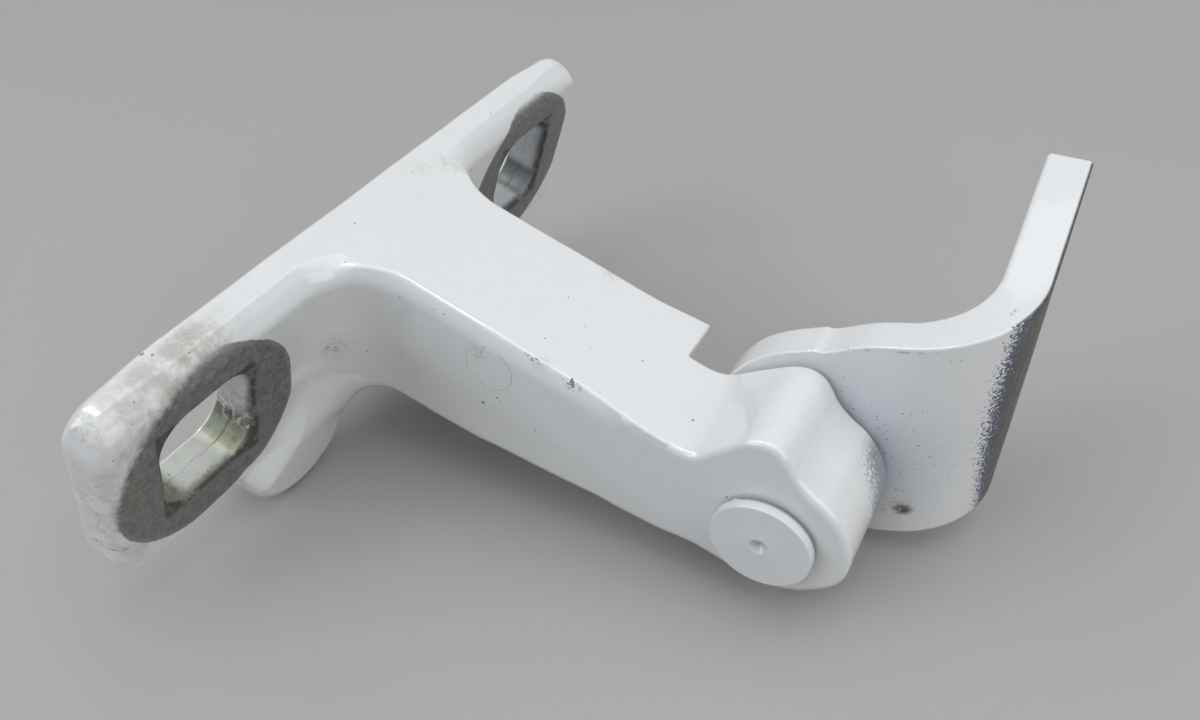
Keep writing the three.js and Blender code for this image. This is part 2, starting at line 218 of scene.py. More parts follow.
def even_spacing(points, edges):
    """Points drawn part of the way to the mean of their neighbours."""
    total = np.zeros_like(points)
    count = np.zeros(len(points))
    for end, other in ((0, 1), (1, 0)):
        for axis in range(3):
            total[:, axis] += np.bincount(edges[:, end], points[edges[:, other], axis],
                                          len(points))
        count += np.bincount(edges[:, end], minlength=len(points))
    return lerp(points, total / np.maximum(count, 1)[:, None], 0.35)


def surface_nets(field, low, high, spacing):
    """Quads on the zero surface of a field over a box, with their normals."""
    low, high = np.array(low, float), np.array(high, float)
    counts = np.ceil((high - low) / spacing).astype(int) + 1
    axes = [(low[i] + spacing * np.arange(counts[i])).astype(np.float32) for i in range(3)]
    grid = np.broadcast_arrays(axes[0][:, None, None], axes[1][None, :, None],
                               axes[2][None, None, :])
    values = field(*grid).astype(np.float32)
    values[np.abs(values) < 1e-6] = 1e-6
    inside = values < 0
    cells = [n - 1 for n in counts]
    corners_inside = np.zeros(cells, np.int8)
    for corner in np.ndindex(2, 2, 2):
        corners_inside += inside[tuple(slice(c, c + n) for c, n in zip(corner, cells))]
    active = np.argwhere((corners_inside > 0) & (corners_inside < 8))
    index = np.full(cells, -1, np.int64)
    index[tuple(active.T)] = np.arange(len(active))
    points = low + spacing * (active + crossing_means(values, active))
    quads = crossing_quads(inside, index, cells)
    edges = np.concatenate([quads[:, [i, (i + 1) % 4]] for i in range(4)])
    for i in range(NEWTON_ROUNDS):
        points = move_to_surface(field, points, 0.5 * spacing)
        if i < EVEN_ROUNDS:
            points = even_spacing(points, edges)
    return points, quads, surface_normals(field, points, GRID_NORMAL_REACH)


def halve_quads(quads, normals):
    """Two triangles a quad, parted along the diagonal that turns less."""
    a, b, c, d = quads.T
    first = (normals[a] * normals[c]).sum(1) > (normals[b] * normals[d]).sum(1)
    return np.concatenate([
        np.stack([a, b, c], 1)[first], np.stack([a, c, d], 1)[first],
        np.stack([a, b, d], 1)[~first], np.stack([b, c, d], 1)[~first]])


def split_triangles(triangles, middles):
    """Triangles split at their marked edges; a middle of -1 leaves its edge whole."""
    count = (middles >= 0).sum(1)
    out = [triangles[count == 0]]
    for i in range(3):
        # one edge split: turn it to the front
        chosen = (count == 1) & (middles[:, i] >= 0)
        tri, mid = np.roll(triangles[chosen], -i, 1), middles[chosen, i]
        out += [np.stack([tri[:, 0], mid, tri[:, 2]], 1),
                np.stack([mid, tri[:, 1], tri[:, 2]], 1)]
        # two split: turn the whole one to the back
        chosen = (count == 2) & (middles[:, i] < 0)
        turn = (i + 1) % 3
        tri, mid = np.roll(triangles[chosen], -turn, 1), np.roll(middles[chosen], -turn, 1)
        out += [np.stack([mid[:, 0], tri[:, 1], mid[:, 1]], 1),
                np.stack([tri[:, 0], mid[:, 0], mid[:, 1]], 1),
                np.stack([tri[:, 0], mid[:, 1], tri[:, 2]], 1)]
    tri, mid = triangles[count == 3], middles[count == 3]
    out += [np.stack([tri[:, 0], mid[:, 0], mid[:, 2]], 1),
            np.stack([mid[:, 0], tri[:, 1], mid[:, 1]], 1),
            np.stack([mid[:, 2], mid[:, 1], tri[:, 2]], 1), mid]
    return np.concatenate(out)


def refine(points, quads, normals, field):
    """Triangles, split along every edge that turns sharply, the new points on the surface."""
    triangles = halve_quads(quads, normals)
    cosine = math.cos(math.radians(SPLIT_ANGLE))
    for _ in range(SPLIT_LEVELS):
        ends = np.stack([triangles[:, [i, (i + 1) % 3]] for i in range(3)], 1).reshape(-1, 2)
        keys, back = np.unique(ends.min(1) * len(points) + ends.max(1), return_inverse=True)
        first, second = keys // len(points), keys % len(points)
        length = np.linalg.norm(points[first] - points[second], axis=1)
        marked = (normals[first] * normals[second]).sum(1) < cosine
        marked = marked & (length > SHORTEST_EDGE)
        middle = np.full(len(keys), -1)
        middle[marked] = len(points) + np.arange(marked.sum())
        added = (points[first[marked]] + points[second[marked]]) / 2
        for _ in range(NEWTON_ROUNDS):
            added = move_to_surface(field, added, 0.3 * SHORTEST_EDGE)
        added_normals = surface_normals(field, added, SPLIT_NORMAL_REACH)
        points = np.concatenate([points, added])
        normals = np.concatenate([normals, added_normals])
        triangles = split_triangles(triangles, middle[back.reshape(-1)].reshape(-1, 3))
    return points, triangles, normals


# ------------------------------------------------------------------ objects
pieces = []     # (object, CAD node, material slot) of every piece, in order


def add_object(name, mesh):
    ob = bpy.data.objects.new(name, mesh)
    bpy.context.scene.collection.objects.link(ob)
    return ob


def keep_design_points(mesh, points):
    """Stores each point's own design coordinates, in mm, for the materials."""
    attribute = mesh.attributes.new("P", "FLOAT_VECTOR", "POINT")
    attribute.data.foreach_set("vector", np.ascontiguousarray(points, np.float32).ravel())


def field_object(name, placed, triangles, normals, design):
    """A smooth object from scene points in mm, with custom normals."""
    mesh = bpy.data.meshes.new(name)
    mesh.vertices.add(len(placed))
    mesh.vertices.foreach_set("co", np.ascontiguousarray(placed / TO_METRES, np.float32).ravel())
    count = len(triangles)
    mesh.loops.add(count * 3)
    mesh.loops.foreach_set("vertex_index", triangles.astype(np.int32).ravel())
    mesh.polygons.add(count)
    mesh.polygons.foreach_set("loop_start", np.arange(0, count * 3, 3, dtype=np.int32))
    mesh.polygons.foreach_set("use_smooth", np.full(count, True))
    mesh.update(calc_edges=True)
    mesh.validate()
    keep_design_points(mesh, design)
    mesh.normals_split_custom_set_from_vertices([tuple(n) for n in normals])
    return add_object(name, mesh)


def register(ob, body, node, slot):
    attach(ob, body)
    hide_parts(node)
    pieces.append((ob, node, slot))


# ------------------------------------------------------------------ the forged arm
FOOT_BACK, FOOT_FRONT, FOOT_HALF = -63.4, -57.4, 46.8   # x of both faces, half its width
TOP_Z = 4.7
TOE_Y, TOE_Z, TOE_R = 18.8, -23.0, 8.74     # the two toes: off the middle, height, radius
TOE_FRONTS = (-57.6, -55.05)                # x of a toe's front, high up and low down
HOLE_REACH = 32.5                           # the bolt holes, off the middle
HOLE_Y = (MID_Y - HOLE_REACH, MID_Y + HOLE_REACH)
HOLE_Z, HOLE_W, HOLE_H, HOLE_R = -8.8, 13.7, 15.0, 4.3
SEAT_Z = -9.0                               # the washers' round seats
STEP_X, CHEEK_Y, ARM_FAR_Y = -17.8, 13.7, 20.2  # the shoulder down to the narrow cheek
UNDER_X = [-75, -43, -36, -10.2, 0]         # the straight arm's underside
UNDER_Z = [-17.6, -15.9, -15.2, -10.6, -9.3]
BARREL_R = 9.65
PIN_HOLE_R, RECESS_R, RECESS_Y = 4.3, 8.3, 12.75

# The knuckle seen along y: (x, z) over the nose, round the barrel and back underneath
NOSE = [(-30, -16.5), (-30, 4.7), (-15.6, 4.7)]
NOSE += bezier((-15.6, 4.7), (-13.0, 4.7), (-11.4, 6.9), 10)
NOSE += [(-9.6, 8.95), (-8.0, 10.75)]
NOSE += bezier((-8.0, 10.75), (-5.6, 13.55), (-3.3, 12.75), 12)
NOSE += bezier((-3.3, 12.75), (-2.4, 12.4), (-1.2, 11.2), 6)
NOSE += bezier((-1.2, 11.2), (0.4, 9.75), (3.4, 9.03), 10)
NOSE += circle(BARREL_R, np.arange(66, -99, -3.0))
NOSE += [(-3.0, -9.62), (-5.5, -9.75), (-10.2, -10.6), (-20, -12.35), (-30, -14.15)]


def draft(z):
    """How far a forged side draws in below z = -6."""
    return 0.035 * np.maximum(-6 - z, 0)


def foot_outline(side, z):
    """Ears, toes and the web between; drawn taller than it is, the flat top is cut later."""
    ear = cut(side - FOOT_HALF, -22.9 - z, 5.6)
    toe = np.hypot(side - TOE_Y, z - TOE_Z) - TOE_R
    neck = np.maximum(np.abs(side - TOE_Y) - TOE_R, np.maximum(TOE_Z - z, z))
    web = np.maximum(side - 19.0, -26.0 - z)
    return join(join(ear, np.minimum(toe, neck), 1.6), web, 2.0)


def foot_field(x, side, z):
    front_r = lerp(1.3, 2.4, step(side, 36, 44) * step(z, -22, -10))
    foot = cut(foot_outline(side, z), x - FOOT_FRONT, front_r)
    # the toes stand a little further forward and are rounded over to the front
    toe_round = np.where(z < TOE_Z, np.hypot(side - TOE_Y, z - TOE_Z) - TOE_R,
                         np.abs(side - TOE_Y) - TOE_R)
    # the washers' flat seats are left clear
    seat = np.hypot(side - HOLE_REACH, z - SEAT_Z)
    front = x - lerp(*TOE_FRONTS, step(-z, 12.0, 21.5) * step(seat, 13.3, 17.5))
    toe = cut(np.maximum(toe_round, z + 10), front, 2.1)
    toe = np.maximum(toe, -60.5 - x)
    return join(foot, toe, lerp(0.02, 1.8, step(z, -22.6, -19.0)))


def straight_field(x, y, z):
    under = np.interp(x, UNDER_X, UNDER_Z)
    near_side = -y + draft(z)
    far_side = y.astype(float) - ARM_FAR_Y + draft(z)
    bar = cut(np.maximum(near_side, far_side), under - z, 2.2)
    return np.maximum(bar, x + 14.0)


def cut_top(body, x, side, z):
    """Eases a band along the top edges, then cuts the flat top itself."""
    ear = 1 - step(x, -58.0, -54.6)
    band_w = lerp(0.95, 2.25, ear)
    band_h = lerp(2.6, 3.2, ear)
    climb = np.clip((z - (TOP_Z - band_h)) / band_h, 0, 1.3)
    fade = step(x, -62.0, -59.0) * (1 - 0.85 * step(x, -26, -17))
    body = body + band_w * climb * climb * fade
    corner = cut(side - FOOT_HALF, z - TOP_Z, 5.0)
    edge_r = lerp(0.30, 0.9, ear) + 1.5 * step(side, 33, 44)
    return cut(body, np.where(side > 30, corner, z - TOP_Z), edge_r)


def nose_field(x, y, z):
    lean = 1.9 * (1 - np.clip(y / CHEEK_Y, 0, 1)) * (1 - step(x, -11.5, -6.5)) * step(x, -21, -15)
    nose = polygon(NOSE, x - lean, z)
    near_r = lerp(0.85, 2.3, step(0.2 * x - z, 1.0, 7.0))
    nose = cut(nose, -y + draft(z), near_r)
    nose = cut(nose, y - CHEEK_Y, 0.45)
    return np.maximum(nose, -20.0 - x)


def hole_field(x, y, z, centre_y):
    """A rounded square hole through the foot."""
    off_y = np.abs(y - centre_y) - HOLE_W / 2 + HOLE_R
    off_z = np.abs(z - HOLE_Z) - HOLE_H / 2 + HOLE_R
    hole = (np.minimum(np.maximum(off_y, off_z), 0)
            + np.hypot(np.maximum(off_y, 0), np.maximum(off_z, 0)) - HOLE_R)
    return np.maximum(hole, x + 52)


def arm_field(x, y, z):
    side = np.abs(y - MID_Y)
    # the fillets at the root open out towards the toes
    root_r = lerp(8.4, 9.6, step(-z, 2.0, 16.0))
    body = join(foot_field(x, side, z), straight_field(x, y, z), root_r)
    # the shoulder, with a small fillet down its inner corner
    body = cut(body, join(x - STEP_X, y - CHEEK_Y, 0.4), 0.32)
    body = cut(body, FOOT_BACK - x, 1.2)
    body = cut_top(body, x, side, z)
    knuckle = (x > -24) & (y < 17) & (y > -4)
    nose = nose_field(x[knuckle], y[knuckle], z[knuckle])
    body[knuckle] = np.minimum(body[knuckle], nose)
    for centre_y in HOLE_Y:
        body = cut(body, -hole_field(x, y, z, centre_y), 0.42)
    # pin hole and washer recess
    radius = np.hypot(x, z)
    body = np.maximum(body, -(radius - PIN_HOLE_R))
    body = np.maximum(body, -np.maximum(radius - RECESS_R, RECESS_Y - y))
    return body + wobble(x, y, z)


def build_arm():
    points, quads, normals = surface_nets(arm_field, (-64.2, -37.9, -33.2), (10.6, 57.7, 15.2),
                                          0.42)
    points, triangles, normals = refine(points, quads, normals, arm_field)
    ob = field_object("arm_forging", turn_to_scene(points) + PIN, triangles,
                      turn_to_scene(normals), points)
    register(ob, "arm", "hinge_arm", "arm_paint")


# ------------------------------------------------------------------ the bent leaf
# Drawn flat: along from the pin axis, up, and depth from the face that ends up outermost in the
# bend. Past BEND_START it turns by a quarter from +x to +y.
LEAF_Y, LEAF_T, LEAF_END = 14.1, 5.0, 41.0      # near face, thickness, length past the pin
BEND_START, BEND_R = 8.4, 6.9                   # BEND_R is the inside radius
BEND_MID = BEND_R + LEAF_T / 2
BEND_LEN = BEND_MID * math.pi / 2
TOP_RISE, UNDER_RISE = math.tan(math.radians(16.4)), math.tan(math.radians(7.1))
EYE_R = 5.8


def leaf_top(along):
    """Height of the leaf's straight top edge."""
    return 17.1 + along * TOP_RISE


# (along, up): the far end, the top edge, over the shoulder, round the eye and back underneath
LEAF = [(LEAF_END, -9.7 + LEAF_END * UNDER_RISE), (LEAF_END, leaf_top(LEAF_END))]
LEAF += spline([
    (12.0, leaf_top(12.0)), (8.4, leaf_top(8.4)), (6.2, leaf_top(6.2)), (4.4, 18.27),
    (2.9, 17.5), (1.4, 16.62), (0.2, 16.0), (-0.45, 15.86), (-0.95, 15.84), (-1.6, 15.56),
    (-2.7, 15.06), (-4.2, 14.35), (-5.9, 13.35), (-7.6, 12.1), (-9.0, 10.65), (-10.3, 8.8),
    (-11.3, 6.85), (-12.05, 4.9), (-12.45, 2.9), (-12.5, 1.0), (-12.3, -0.7)], 5)
LEAF += circle(12.25, np.arange(184, 262, 4.0))
LEAF += [(0.6, -12.05), (2.6, -11.4), (5.0, -10.3), (7.6, -9.35), (10.5, -8.55)]


def leaf_field(along, up, depth):
    if along.ndim == 3:         # on the grid the outline is the same at every depth
        outline = polygon(LEAF, along[:, :, 0], up[:, :, 0])
        plate = np.broadcast_to(outline[:, :, None], along.shape)
    else:
        plate = polygon(LEAF, along, up)
    plate = cut(plate, -depth, 0.30)
    plate = cut(plate, depth - LEAF_T, 0.42)
    plate = cut(plate, -(np.hypot(along, up) - EYE_R), 0.4)
    return plate + 0.35 * wobble(along * 1.1 + 7, depth + 3, up * 1.2)


def bend_angle(along):
    return np.clip((along - BEND_START) / BEND_MID, 0, math.pi / 2)


def bend_points(points):
    """Flat leaf points, bent and placed in the scene."""
    along, up, depth = points.T
    radius = BEND_R + LEAF_T - depth
    angle = bend_angle(along)
    flat = along <= BEND_START
    past = np.maximum(along - BEND_START - BEND_LEN, 0)
    x = np.where(flat, along, BEND_START + radius * np.sin(angle))
    y = np.where(flat, LEAF_Y + depth, LEAF_Y + LEAF_T + BEND_R - radius * np.cos(angle) + past)
    return np.stack([x, y, up], 1) + PIN


def bend_normals(points, normals):
    """Normals through the bend, scaled by how much it stretches each depth of the plate."""
    along, _, depth = points.T
    angle = bend_angle(along)
    in_bend = (along > BEND_START) & (along < BEND_START + BEND_LEN)
    stretch = np.where(in_bend, (BEND_R + LEAF_T - depth) / BEND_MID, 1.0)
    run, up, out = normals[:, 0] / stretch, normals[:, 1], normals[:, 2]
    cosine, sine = np.cos(angle), np.sin(angle)
    bent = np.stack([run * cosine - out * sine, run * sine + out * cosine, up], 1)
    return bent / np.linalg.norm(bent, axis=1, keepdims=True)


def build_leaf():
    points, quads, normals = surface_nets(leaf_field, (-13.6, -13.4, -0.9), (42.2, 30.6, 5.9),
                                          0.36)
    points, triangles, normals = refine(points, quads, normals, leaf_field)
    ob = field_object("leaf_plate", bend_points(points), triangles[:, ::-1],
                      bend_normals(points, normals), points)
    register(ob, "leaf", "hinge_leaf", "leaf_paint")


# ------------------------------------------------------------------ turned pieces
def turned(name, profile, segments):
    """A closed (radius, y) profile turned about the pin; points on the axis are one vertex."""
    angles = np.linspace(0, 2 * math.pi, segments, endpoint=False)
    on_axis = [radius < 1e-6 for radius, _ in profile]
    points, rings = [], []
    for (radius, y), single in zip(profile, on_axis):
        if single:
            rings.append([len(points)] * segments)
            points.append((0, y, 0))
        else:
            rings.append(list(range(len(points), len(points) + segments)))
            points += [(radius * math.sin(a), y, radius * math.cos(a)) for a in angles]
    closed = not (on_axis[0] and on_axis[-1])
    faces = []
    for i in range(len(profile) if closed else len(profile) - 1):
        low, high = rings[i], rings[(i + 1) % len(profile)]
        for k in range(segments):
            after = (k + 1) % segments
            face = list(dict.fromkeys([low[k], high[k], high[after], low[after]]))
            if len(face) >= 3:
                faces.append(face)
    points = np.array(points)
    mesh = bpy.data.meshes.new(name)
    mesh.from_pydata([tuple(p) for p in (points + PIN) / TO_METRES], [], faces)
    mesh.validate()
    keep_design_points(mesh, points)
    shell = bmesh.new()
    shell.from_mesh(mesh)
    bmesh.ops.recalc_face_normals(shell, faces=shell.faces)
    shell.to_mesh(mesh)
    shell.free()
    mesh.polygons.foreach_set("use_smooth", np.ones(len(mesh.polygons), bool))
    return add_object(name, mesh)


def arc(radius, y, bend, start, end, count):
    """Points round a centre at (radius, y), between two angles in degrees."""
    return [(radius + bend * math.cos(math.radians(a)), y + bend * math.sin(math.radians(a)))
            for a in np.linspace(start, end, count)]


def eased(corners, radii):
    """A closed profile with each corner rounded to its own radius."""
    corners = [np.array(p, float) for p in corners]
    out = []
    for i, (corner, radius) in enumerate(zip(corners, radii)):
        before = corners[i - 1] - corner
        after = corners[(i + 1) % len(corners)] - corner
        before, after = before / np.linalg.norm(before), after / np.linalg.norm(after)
        half = math.acos(float(before @ after)) / 2
        setback = radius / math.tan(half)
        start, end = corner + before * setback, corner + after * setback
        out += [tuple(start)] + bezier(start, corner, end, 6)
    return out


# The pin, (radius, y): a head with a centre mark
PIN_PROFILE = [
    (0.0, -0.80), (0.22, -0.84), (0.42, -0.96), (0.60, -1.14), (0.76, -1.35), (0.90, -1.54),
    (1.02, -1.67), (1.14, -1.73), (1.28, -1.745), (1.46, -1.725), (1.7, -1.70), (4.2, -1.70),
    (5.3, -1.70)]
PIN_PROFILE += arc(5.80, -1.52, 0.18, -90, 0, 7) + [(5.98, -1.0)]
PIN_PROFILE += arc(5.84, -0.36, 0.16, 0, 90, 4) + [(4.25, -0.2)]
# the shank, stepped down near its end
PIN_PROFILE += arc(4.25, 0.05, 0.25, -90, -180, 4)
PIN_PROFILE += [(4.0, 6.0), (4.0, 14.0), (4.0, 21.7), (3.85, 21.9), (3.0, 21.9), (3.0, 23.66)]
# and the spread tail, dimpled in the middle
PIN_PROFILE += [(3.3, 23.7)] + arc(4.72, 23.9, 0.18, -90, 10, 5)
PIN_PROFILE += [
    (4.84, 24.2), (4.62, 24.6), (4.2, 24.98), (3.6, 25.26), (2.8, 25.45), (1.9, 25.55),
    (1.2, 25.58), (0.95, 25.56), (0.75, 25.40), (0.4, 25.28), (0.0, 25.25)]


def ring(inner_r, outer_r, near_y, far_y):
    """The corners of a plain ring's section."""
    return [(inner_r, near_y), (outer_r, near_y), (outer_r, far_y), (inner_r, far_y)]


# name, section corners, the radius of each corner, then body, CAD node and slot
RINGS = (
    ("friction_washer_inner", ring(4.3, 8.0, 12.95, 13.95), [0.2] * 4,
     "arm", "inner_friction_washer", "friction_lining"),
    ("friction_washer_outer", ring(4.3, 8.0, 19.25, 20.25), [0.2] * 4,
     "arm", "outer_friction_washer", "friction_lining"),
    ("washer_backing", ring(3.3, 7.5, 22.05, 23.4), [0.15, 0.18, 0.4, 0.15],
     "arm", "backing_washer", "zinc_steel"),
    ("bush", ring(4.15, 5.5, 14.2, 19.0), [0.25] * 4, "leaf", "leaf_bush", "bush_bronze"),
    ("spring_disc", [(4.4, 21.05), (7.8, 20.45), (7.8, 21.15), (4.4, 21.75)], [0.2] * 4,
     "arm", "disc_spring", "spring_steel"),
)

build_arm()
build_leaf()
register(turned("pin", PIN_PROFILE, 192), "arm", "pivot_pin", "pin_paint")
for ring_name, section, ease, *links in RINGS:
    register(turned(ring_name, eased(section, ease), 160), *links)


# ------------------------------------------------------------------ writing node trees
class Value:
    """A node's output; arithmetic on it lays down math nodes, of vectors where it is one."""

    def __init__(self, tree, socket):
        self.tree = tree
        self.socket = socket
        self.split = None

    def __add__(self, other): return calc("ADD", self, other)

    def __radd__(self, other): return calc("ADD", other, self)

    def __sub__(self, other): return calc("SUBTRACT", self, other)

    def __rsub__(self, other): return calc("SUBTRACT", other, self)

    def __mul__(self, other): return calc("MULTIPLY", self, other)

    def __rmul__(self, other): return calc("MULTIPLY", other, self)

    def __pow__(self, other): return calc("POWER", self, other)

    def __abs__(self): return calc("ABSOLUTE", self)

    def parts(self):
        """x, y and z; the node that splits them is made once."""
        if self.split is None:
            node = add_node(self.tree, "SeparateXYZ", {0: self})
            self.split = [Value(self.tree, node.outputs[i]) for i in range(3)]
        return self.split

    def rise(self, start, end, low=0.0, high=1.0):
        """Smoothly from low at start to high at end, flat beyond; end may lie below start."""
        node = add_node(self.tree, "MapRange", {
            "Value": self, "From Min": start, "From Max": end, "To Min": low, "To Max": high,
        }, interpolation_type="SMOOTHSTEP", clamp=True)
        return Value(self.tree, node.outputs["Result"])

    def fall(self, start, end):
        return self.rise(start, end, 1.0, 0.0)


def add_node(tree, kind, inputs, **settings):
    """A shader node with its settings made and its inputs linked or filled."""
    node = tree.nodes.new("ShaderNode" + kind)
    for name, setting in settings.items():
        setattr(node, name, setting)
    for key, value in inputs.items():
        socket = node.inputs[key]
        if isinstance(value, Value):
            tree.links.new(value.socket, socket)
        elif isinstance(value, tuple):      # a colour's alpha is filled in with 1
            socket.default_value = value + (1.0,) * (len(socket.default_value) - len(value))
        else:
            socket.default_value = value
    return node


def calc(operation, first, second=0.0, third=0.0):
    known = first if isinstance(first, Value) else second
    if known.socket.type != "VALUE":
        return vector_calc(operation, first, second)
    node = add_node(known.tree, "Math", {0: first, 1: second, 2: third}, operation=operation)
    return Value(known.tree, node.outputs[0])


def vector_calc(operation, first, second=(0, 0, 0), output=0):
    node = add_node(first.tree, "VectorMath", {0: first, 1: second}, operation=operation)
    return Value(first.tree, node.outputs[output])


def distance(point, centre):
    return vector_calc("DISTANCE", point, centre, output="Value")


def radius_of(point, across):
    """Distance from the axis that across masks out."""
    return vector_calc("LENGTH", point * across, output="Value")


def blob(point, centre, core, reach):
    """1 within core of a centre, 0 beyond reach."""
    return distance(point, centre).fall(core, reach)


def maximum(first, *others):
    for other in others:
        first = calc("MAXIMUM", first, other)
    return first


def minimum(first, second):
    return calc("MINIMUM", first, second)


def noise(point, scale, detail=3.0, rough=0.55, distort=0.0, colour=False):
    node = add_node(point.tree, "TexNoise", {
        "Vector": point, "Scale": scale, "Detail": detail, "Roughness": rough,
        "Distortion": distort})
    return Value(point.tree, node.outputs["Color" if colour else 0])


def cells(point, scale, feature="F1"):
    """Random cells: the distance in them and a colour for each."""
    node = add_node(point.tree, "TexVoronoi", {"Vector": point, "Scale": scale}, feature=feature)
    tint = node.outputs.get("Color")
    return Value(point.tree, node.outputs["Distance"]), Value(point.tree, tint)


def lines(point, scale, width):
    """Thin lines between random cells."""
    return cells(point, scale, "DISTANCE_TO_EDGE")[0].fall(width * 0.3, width)


def stirred(point, scale, amount, detail=3.0, centred=False):
    """Points pushed about by a noise, so that shapes drawn with them turn ragged."""
    push = noise(point, scale, detail, rough=0.6, colour=True)
    if centred:
        push = push - (0.5, 0.5, 0.5)
    return point + push * (amount, amount, amount)


def mix(share, under, over):
    """Lays one colour over another by a share."""
    node = add_node(share.tree, "Mix", {0: share, 6: under, 7: over},
                    data_type="RGBA", clamp_factor=True)
    return Value(share.tree, node.outputs[2])


def cover(mask, under, over):
    """The same for plain values."""
    return under * (1.0 - mask) + mask * over


def ramp(value, *stops):
    """A colour ramp through (position, colour) stops."""
    node = add_node(value.tree, "ValToRGB", {0: value})
    elements = node.color_ramp.elements
    while len(elements) < len(stops):
        elements.new(0.5)
    for element, (position, colour) in zip(elements, stops):
        element.position = position
        element.color = colour + (1.0,)
    return Value(value.tree, node.outputs[0])


def new_material(name):
    """A material with nothing but its output node."""
    material = bpy.data.materials.new(name)
    material.use_nodes = True
    nodes = material.node_tree.nodes
    for node in list(nodes):
        if node.type != "OUTPUT_MATERIAL":
            nodes.remove(node)
    return material


def design_point(material):
    """The stored design coordinates, in mm."""
    tree = material.node_tree
    return Value(tree, add_node(tree, "Attribute", {}, attribute_name="P").outputs["Vector"])


def finish(material, colour, rough, height=None, metal=0.0, coat=0.0, coat_rough=0.05, spec=0.5):
    """The shader; height is in millimetres."""
    tree = material.node_tree
    inputs = {"Base Color": colour, "Roughness": rough, "Metallic": metal,
              "Specular IOR Level": spec, "Coat Weight": coat, "Coat Roughness": coat_rough}
    if height is not None:
        bump = add_node(tree, "Bump", {"Strength": 1.0, "Distance": 0.001, "Height": height})
        inputs["Normal"] = inputs["Coat Normal"] = Value(tree, bump.outputs[0])
    shader = add_node(tree, "BsdfPrincipled", inputs)
    output = next(n for n in tree.nodes if n.type == "OUTPUT_MATERIAL")
    tree.links.new(shader.outputs[0], output.inputs[0])
    return material


# ------------------------------------------------------------------ painted pieces
WHITE, SHADED_WHITE = (0.785, 0.805, 0.812), (0.765, 0.790, 0.805)
SPECK = (0.17, 0.155, 0.14)
COAT, COAT_ROUGH = 0.75, 0.032      # the paint's gloss
AROUND_PIN = (1, 0, 1)              # masks out y
BACK_EDGE = (-62.9, -61.6)          # x where dirt fades off the foot's back edge


def specks(here, scale, size, share, seed):
    """Dark specks in cells of 1/scale mm, dots up to size mm wide, in a share of the cells."""
    here = stirred(here + (seed * 13.7, seed * 7.3, seed * 3.1), 3.0, 0.25, detail=2.0,
                   centred=True)
    from_dot, tint = cells(here, scale)
    pick, girth, _ = tint.parts()
    reach = girth ** 3.0 * (size * scale)
    dot = from_dot.fall(reach * 0.55, reach + 0.012)
    return dot * pick.rise(1 - share, 1 - share + 0.02)


def paint(here):
    """Gloss white over steel: faint clouding and orange peel. Colour, roughness, height."""
    clouds = noise(here, 0.09, detail=2.0, rough=0.5)
    patches = noise(here, 0.55)
    peel = noise(here, 0.85, detail=1.5, rough=0.45)
    fine = noise(here, 3.2, detail=2.0, rough=0.5)
    colour = mix(clouds * 0.5, WHITE, SHADED_WHITE)
    return colour, patches.rise(0.3, 0.8, low=0.20, high=0.26), peel * 0.0045 + fine * 0.0006


# Smears on the arm: centre, radius, strength
SMEARS = (
    ((-58.0, 21.6, 4.6), 2.8, 0.4), ((-60.2, 18.0, 4.7), 3.0, 0.25),
    ((-31.7, 18.5, 4.6), 2.0, 0.45), ((-55.3, -3.8, -8.4), 3.2, 0.5),
    ((-38.3, 0.0, 1.1), 1.9, 0.6), ((-30.8, 0.6, 4.5), 1.8, 0.4),
    ((-60.4, -21, 4.6), 5.0, 0.45), ((-60.5, -34.6, 3.4), 3.2, 0.4))
# Single dark marks on the arm: centre, radius
MARKS = (
    ((-36.3, 0.0, -6.6), 0.26), ((-34.7, 0.0, -4.3), 0.17), ((-34.2, 0.0, -4.6), 0.11),
    ((-28.9, 0.0, -5.7), 0.15), ((-13.3, 5.0, 4.8), 0.17), ((-5.7, 0.0, 2.5), 0.14),
    ((-49.7, 0.0, 2.4), 0.13), ((-56.5, -1.6, 4.5), 0.11), ((-61.9, -25.0, 4.7), 0.16),
    ((-22.0, 9.0, 4.7), 0.12))


